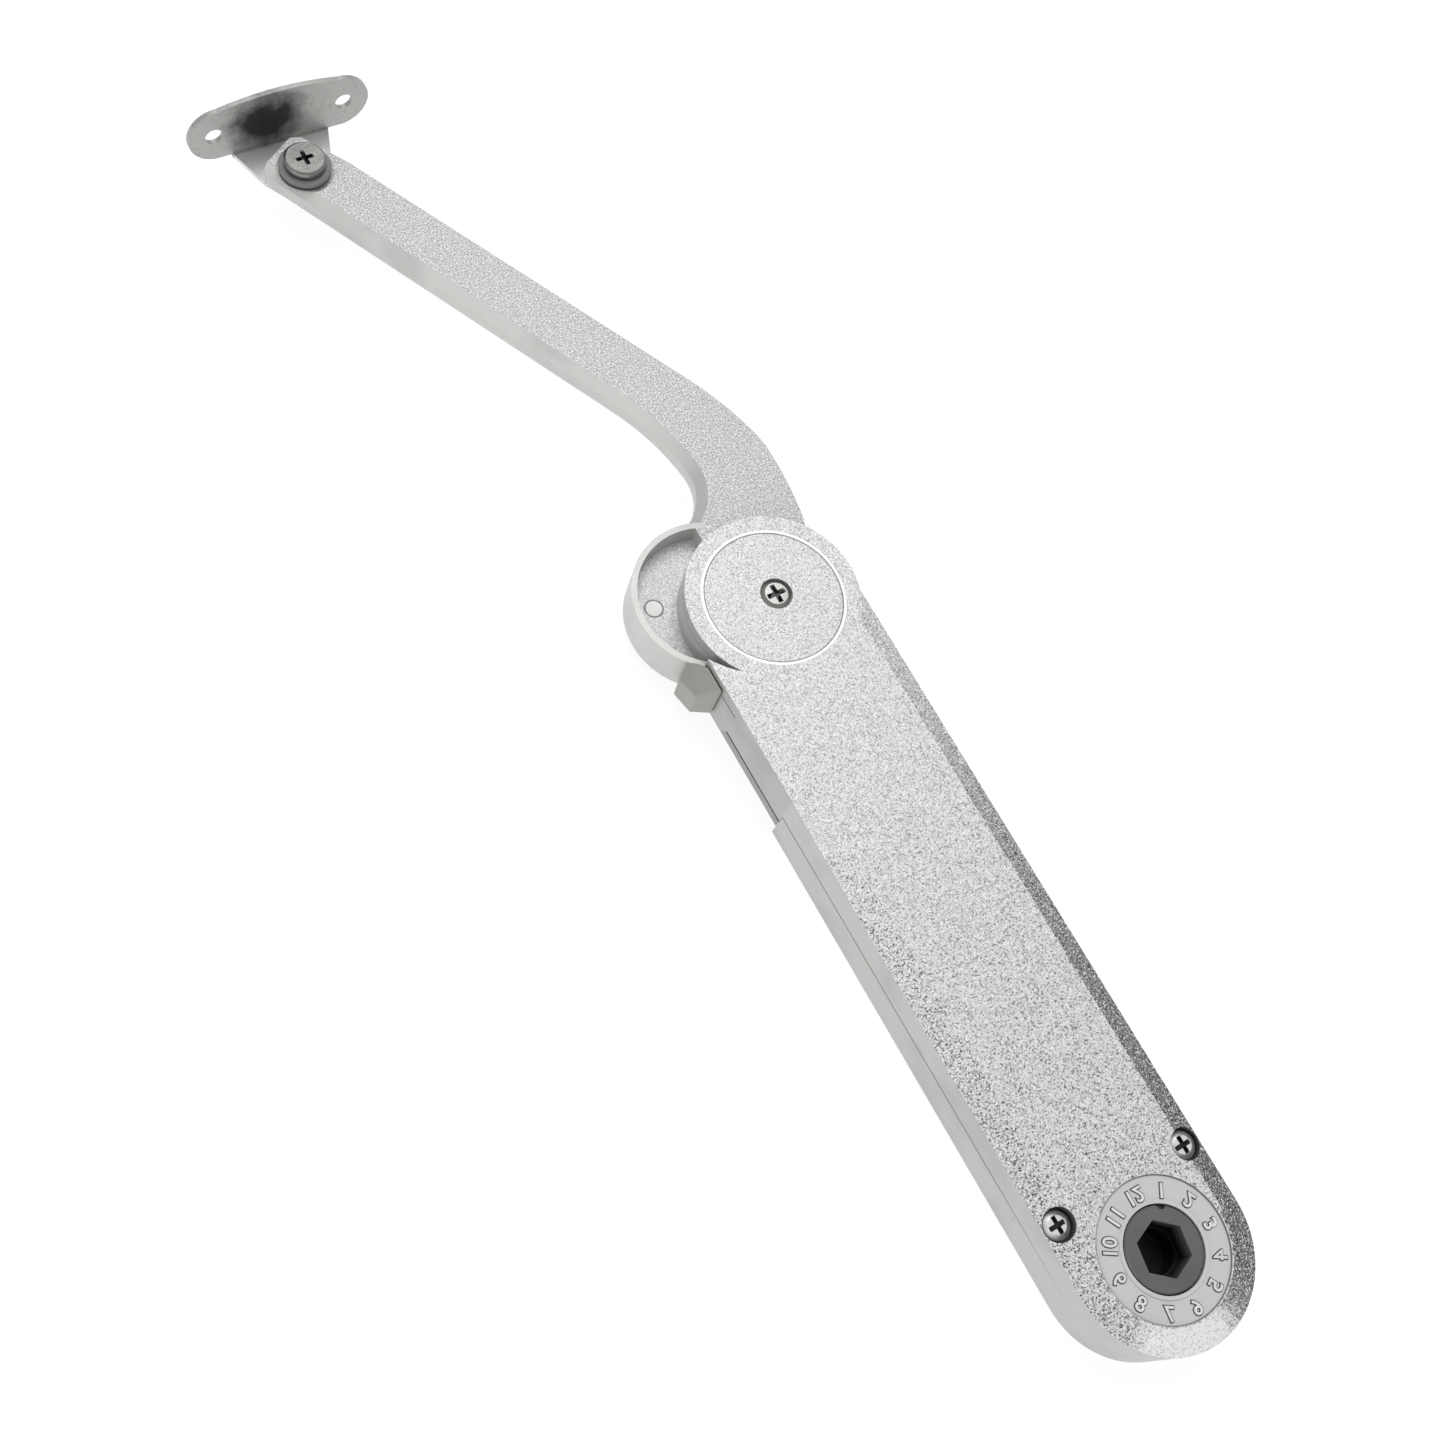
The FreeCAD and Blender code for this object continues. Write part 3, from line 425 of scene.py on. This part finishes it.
def plainFinish(name, opts):
    mat, tree = startMaterial(name)
    coord, xyz = placeOf(tree)
    peel = addNode(tree, "TexNoise", {}, {"Vector": coord, "Scale": 1 / (opts["peelMm"] * mm), "Detail": 3.0,
                                          "Roughness": 0.5})[0]
    cloud = addNode(tree, "TexNoise", {}, {"Vector": coord, "Scale": 1 / (opts["cloudMm"] * mm), "Detail": 2.0,
                                           "Roughness": 0.5})[0]
    share = addNode(tree, "MapRange", {}, (cloud, *opts["cloudRange"]))[0]
    share = addNode(tree, "Math", times, (share, opts["cloudShare"]))[0]
    tint = addNode(tree, "Mix", overColour, {0: share, 6: colour(opts["tint"]), 7: colour(opts["cloud"])})[2]
    # painted shade down each listed hole, darker further down
    for x, y, topZ, lowZ, reach in opts["holes"]:
        radius = radiusFrom(tree, xyz, x, y)
        inside = addNode(tree, "MapRange", {}, (radius, *metres((reach, reach - 0.1))))[0]
        depth = addNode(tree, "MapRange", {}, (xyz[2], *metres((topZ, lowZ))))[0]
        deep = addNode(tree, "Math", times, (inside, depth))[0]
        tint = addNode(tree, "Mix", overColour, {0: deep, 6: tint, 7: colour(opts["hole"])})[2]
    spread = addNode(tree, "Math", minus, (peel, 0.5))[0]
    spread = addNode(tree, "Math", times, (spread, opts["roughnessSpread"]))[0]
    rough = addNode(tree, "Math", plus, (opts["roughness"], spread))[0]
    bump = addNode(tree, "Bump", {}, {"Strength": opts["bumpStrength"], "Distance": opts["bumpMm"] * mm,
                                      "Height": peel})[0]
    return endMaterial(mat, {"Base Color": tint, "Roughness": rough, "Normal": bump, "Metallic": opts["metallic"]})


coverMat = coverCoat("texturedPowderCoat", coverSet)
armMat = armCoat("texturedPowderCoatArm", armSet)
capMat = capCoat("texturedPowderCoatCap", capSet)
shellMat = shellPaint("satinZincPaint", coatSet)
flangeMat = plateMetal("dullZincPlate", plateSet)

# enamel on the stop: greenish grey, half gloss, edges that catch the light
stopMat = plainFinish("greyStopPaint", dict(plainSet, tint="9a9b95", roughness=0.34, metallic=0.2))
# bare zinc die casting: mid grey with a low shine, painted shade down the hex socket
adjusterMat = plainFinish("greyZincAdjuster", dict(plainSet, tint="70706f", roughness=0.4, metallic=0.4,
                                                   holes=((dialX, dialY, 17.9, 13.6, 6.3),)))
# pin end ground flat with the floor round it: almost white and even
pinMat = plainFinish("groundPinHead", dict(plainSet, tint="fbfaf8", roughness=0.3))
# acetal washers: deep black with a waxy half gloss
acetalMat = plainFinish("blackAcetal", dict(plainSet, tint="1c1c1c", roughness=0.45))
# nylon washer: cool mid grey, softer shine than metal
washerMat = plainFinish("greyNylon", dict(plainSet, tint="7c7c7a", roughness=0.42))
# polished nickel plate on screws, bush and nut: sharp dark and bright reflections, painted shade in the cross slots
screwMat = metalFinish("polishedNickel", dict(metalSet, tint="9d9c9a", roughness=0.22, lineMm=0.2, stretch=6.0,
                                              slots=slotPlaces))
# satin nickel plate on the two case screws: whiter, with a wider sheen
caseScrewMat = metalFinish("brightNickel", dict(metalSet, tint="ffffff", roughness=0.45, lineMm=0.2, stretch=6.0,
                                                slots=slotPlaces))
# hardened steel under oil: dark grey with a tight shine along the grinding
steelMat = metalFinish("oiledHardSteel", dict(metalSet, tint="8a8a8c", roughness=0.3, lineMm=0.2, stretch=8.0))
# drawn spring wire: darker, with faint lines from the die
springMat = metalFinish("drawnSpringWire", dict(metalSet, tint="77777a", roughness=0.32, lineMm=0.2, stretch=8.0))
# drawn steel tube: light grey and smooth
tubeMat = metalFinish("drawnSteelTube", dict(metalSet, tint="b0b0b0", roughness=0.3, lineMm=0.2, stretch=8.0))
# oil-filled bronze: warm brown gold with an open, softer shine
bronzeMat = metalFinish("oiledBronze", dict(metalSet, tint="b58a4a", roughness=0.38, lineMm=0.3, stretch=3.0))
print("materials made")

finishOf = {
    "back_shell": shellMat, "front_cover": coverMat, "stop_block": stopMat, "arm": armMat,
    "cam_plate": steelMat, "cam_pin": pinMat, "pivot_shaft": steelMat, "pivot_bush": bronzeMat,
    "back_washer": acetalMat, "front_washer": acetalMat, "cap_disc": capMat, "cap_screw": screwMat,
    "body_screws": caseScrewMat, "slider": shellMat, "roller": steelMat, "roller_pin": steelMat,
    "springs": springMat, "spring_guides": tubeMat, "spring_seat": shellMat, "snail_cam": steelMat,
    "adjuster": adjusterMat, "damper_cylinder": tubeMat, "damper_rod": steelMat, "bracket": flangeMat,
    "bracket_bush": screwMat, "bracket_washer": washerMat, "bracket_screw": screwMat, "bracket_nut": screwMat,
}
for name, obj in nodes.items():
    obj.data.materials.clear()
    obj.data.materials.append(finishOf[name])
print("finishes set")


# raised numerals round the dial, reversed as cast, tops towards the centre, each over a thin dark outline of painted
# shade round its relief
numeralSet = {
    "sizeMm": 4.2, "radiusMm": 11.8, "shiftY": -0.45, "baseZ": 17.83, "outlineZ": 17.93, "topZ": 18.12,
    "boldMm": 0.05, "outlineMm": 0.24, "count": 12, "firstDegrees": 88, "stepDegrees": 30,
}
# cast numeral: pale grey with a soft shine
numeralFace = dict(plainSet, tint="f4f3f1", roughness=0.35, metallic=0.3, peelMm=0.6)
# painted shade round each numeral's relief: near black and dull
numeralShade = dict(plainSet, tint="2e2d2c", roughness=0.6, peelMm=0.6)


def numeralMesh(label, opts, grow, lowZ, highZ, angle):
    curve = bpy.data.curves.new("numeral" + label, "FONT")
    curve.body = label
    curve.size = opts["sizeMm"] * mm
    curve.align_x = "CENTER"
    curve.align_y = "CENTER"
    curve.extrude = (highZ - lowZ) / 2 * mm
    curve.offset = grow * mm
    temp = bpy.data.objects.new("temp", curve)
    bpy.context.collection.objects.link(temp)
    bpy.context.view_layer.update()
    mesh = bpy.data.meshes.new_from_object(temp)
    bpy.data.objects.remove(temp)
    place = Matrix.Translation(((dialX + opts["radiusMm"] * math.cos(angle)) * mm,
                                (dialY + opts["shiftY"] + opts["radiusMm"] * math.sin(angle)) * mm,
                                (highZ + lowZ) / 2 * mm))
    turn = Matrix.Rotation(angle + math.pi / 2, 4, "Z")
    flip = Matrix.Diagonal((-1.0, 1.0, 1.0, 1.0))
    mesh.transform(place @ turn @ flip)
    mesh.flip_normals()
    return mesh


def makeNumerals(opts):
    faceMat = plainFinish("castNumeral", numeralFace)
    outlineShadeMat = plainFinish("numeralShadeOutline", numeralShade)
    for k in range(opts["count"]):
        label = str(k or opts["count"])
        angle = math.radians(opts["firstDegrees"] - opts["stepDegrees"] * k)
        parts = (("numeral", opts["boldMm"], opts["baseZ"], opts["topZ"], faceMat),
                 ("outline", opts["outlineMm"], opts["baseZ"], opts["outlineZ"], outlineShadeMat))
        for prefix, grow, lowZ, highZ, mat in parts:
            mesh = numeralMesh(label, opts, grow, lowZ, highZ, angle)
            obj = bpy.data.objects.new(prefix + label, mesh)
            bpy.context.collection.objects.link(obj)
            mesh.materials.append(mat)
            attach(obj, "case")


makeNumerals(numeralSet)
print("numerals made")

# pale matt floor just under the closer's back: an even white with soft shade near the part
floorSet = {"size": 4.0, "z": -0.0005, "grey": 0.25, "roughness": 0.9, "glow": 0.85}
floorMesh = bpy.data.meshes.new("floor")
bm = bmesh.new()
bmesh.ops.create_grid(bm, x_segments=1, y_segments=1, size=floorSet["size"])
bmesh.ops.translate(bm, verts=bm.verts, vec=(0.0, 0.0, floorSet["z"]))
bm.to_mesh(floorMesh)
bm.free()
floor = bpy.data.objects.new("floor", floorMesh)
bpy.context.collection.objects.link(floor)
floorMat = endMaterial(startMaterial("paleFloor")[0], {
    "Base Color": (floorSet["grey"], floorSet["grey"], floorSet["grey"], 1.0), "Roughness": floorSet["roughness"],
    "Specular IOR Level": 0.0, "Emission Color": (1.0, 1.0, 1.0, 1.0), "Emission Strength": floorSet["glow"]})
floorMesh.materials.append(floorMat)

# two soft square lamps aimed at the pivot, and an even white studio round them
lampSet = (
    {"name": "keyLight", "place": (0.15, 0.35, 0.8), "size": 0.5, "power": 3.0, "tint": "ffffff"},
    {"name": "fillLight", "place": (-0.9, -0.2, 0.35), "size": 0.6, "power": 2.0, "tint": "ffffff"},
)
for opts in lampSet:
    lamp = bpy.data.lights.new(opts["name"], "AREA")
    lamp.shape = "SQUARE"
    lamp.size = opts["size"]
    lamp.energy = opts["power"]
    lamp.color = colour(opts["tint"])[:3]
    lampObj = bpy.data.objects.new(opts["name"], lamp)
    lampObj.location = opts["place"]
    lampObj.rotation_euler = (-Vector(opts["place"])).to_track_quat("-Z", "Y").to_euler()
    bpy.context.collection.objects.link(lampObj)
studioSet = {"colour": (1.0, 1.0, 1.0, 1.0), "strength": 0.55}
world = bpy.data.worlds.new("studio")
bpy.context.scene.world = world
world.use_nodes = True
world.node_tree.nodes["Background"].inputs["Color"].default_value = studioSet["colour"]
world.node_tree.nodes["Background"].inputs["Strength"].default_value = studioSet["strength"]

cameraSet = {
    "lensMm": 42.353, "sensorMm": 36.0, "nearest": 0.01,
    "place": (-0.156385, -0.107949, 0.338289), "turnDegrees": (23.2505, -12.2916, -30.0451),
}
camData = bpy.data.cameras.new("camera")
camData.lens = cameraSet["lensMm"]
camData.sensor_width = cameraSet["sensorMm"]
camData.clip_start = cameraSet["nearest"]
cam = bpy.data.objects.new("camera", camData)
cam.location = cameraSet["place"]
cam.rotation_euler = [math.radians(turn) for turn in cameraSet["turnDegrees"]]
bpy.context.collection.objects.link(cam)
bpy.context.scene.camera = cam
bpy.context.scene.view_settings.view_transform = "Standard"
print("stage set")
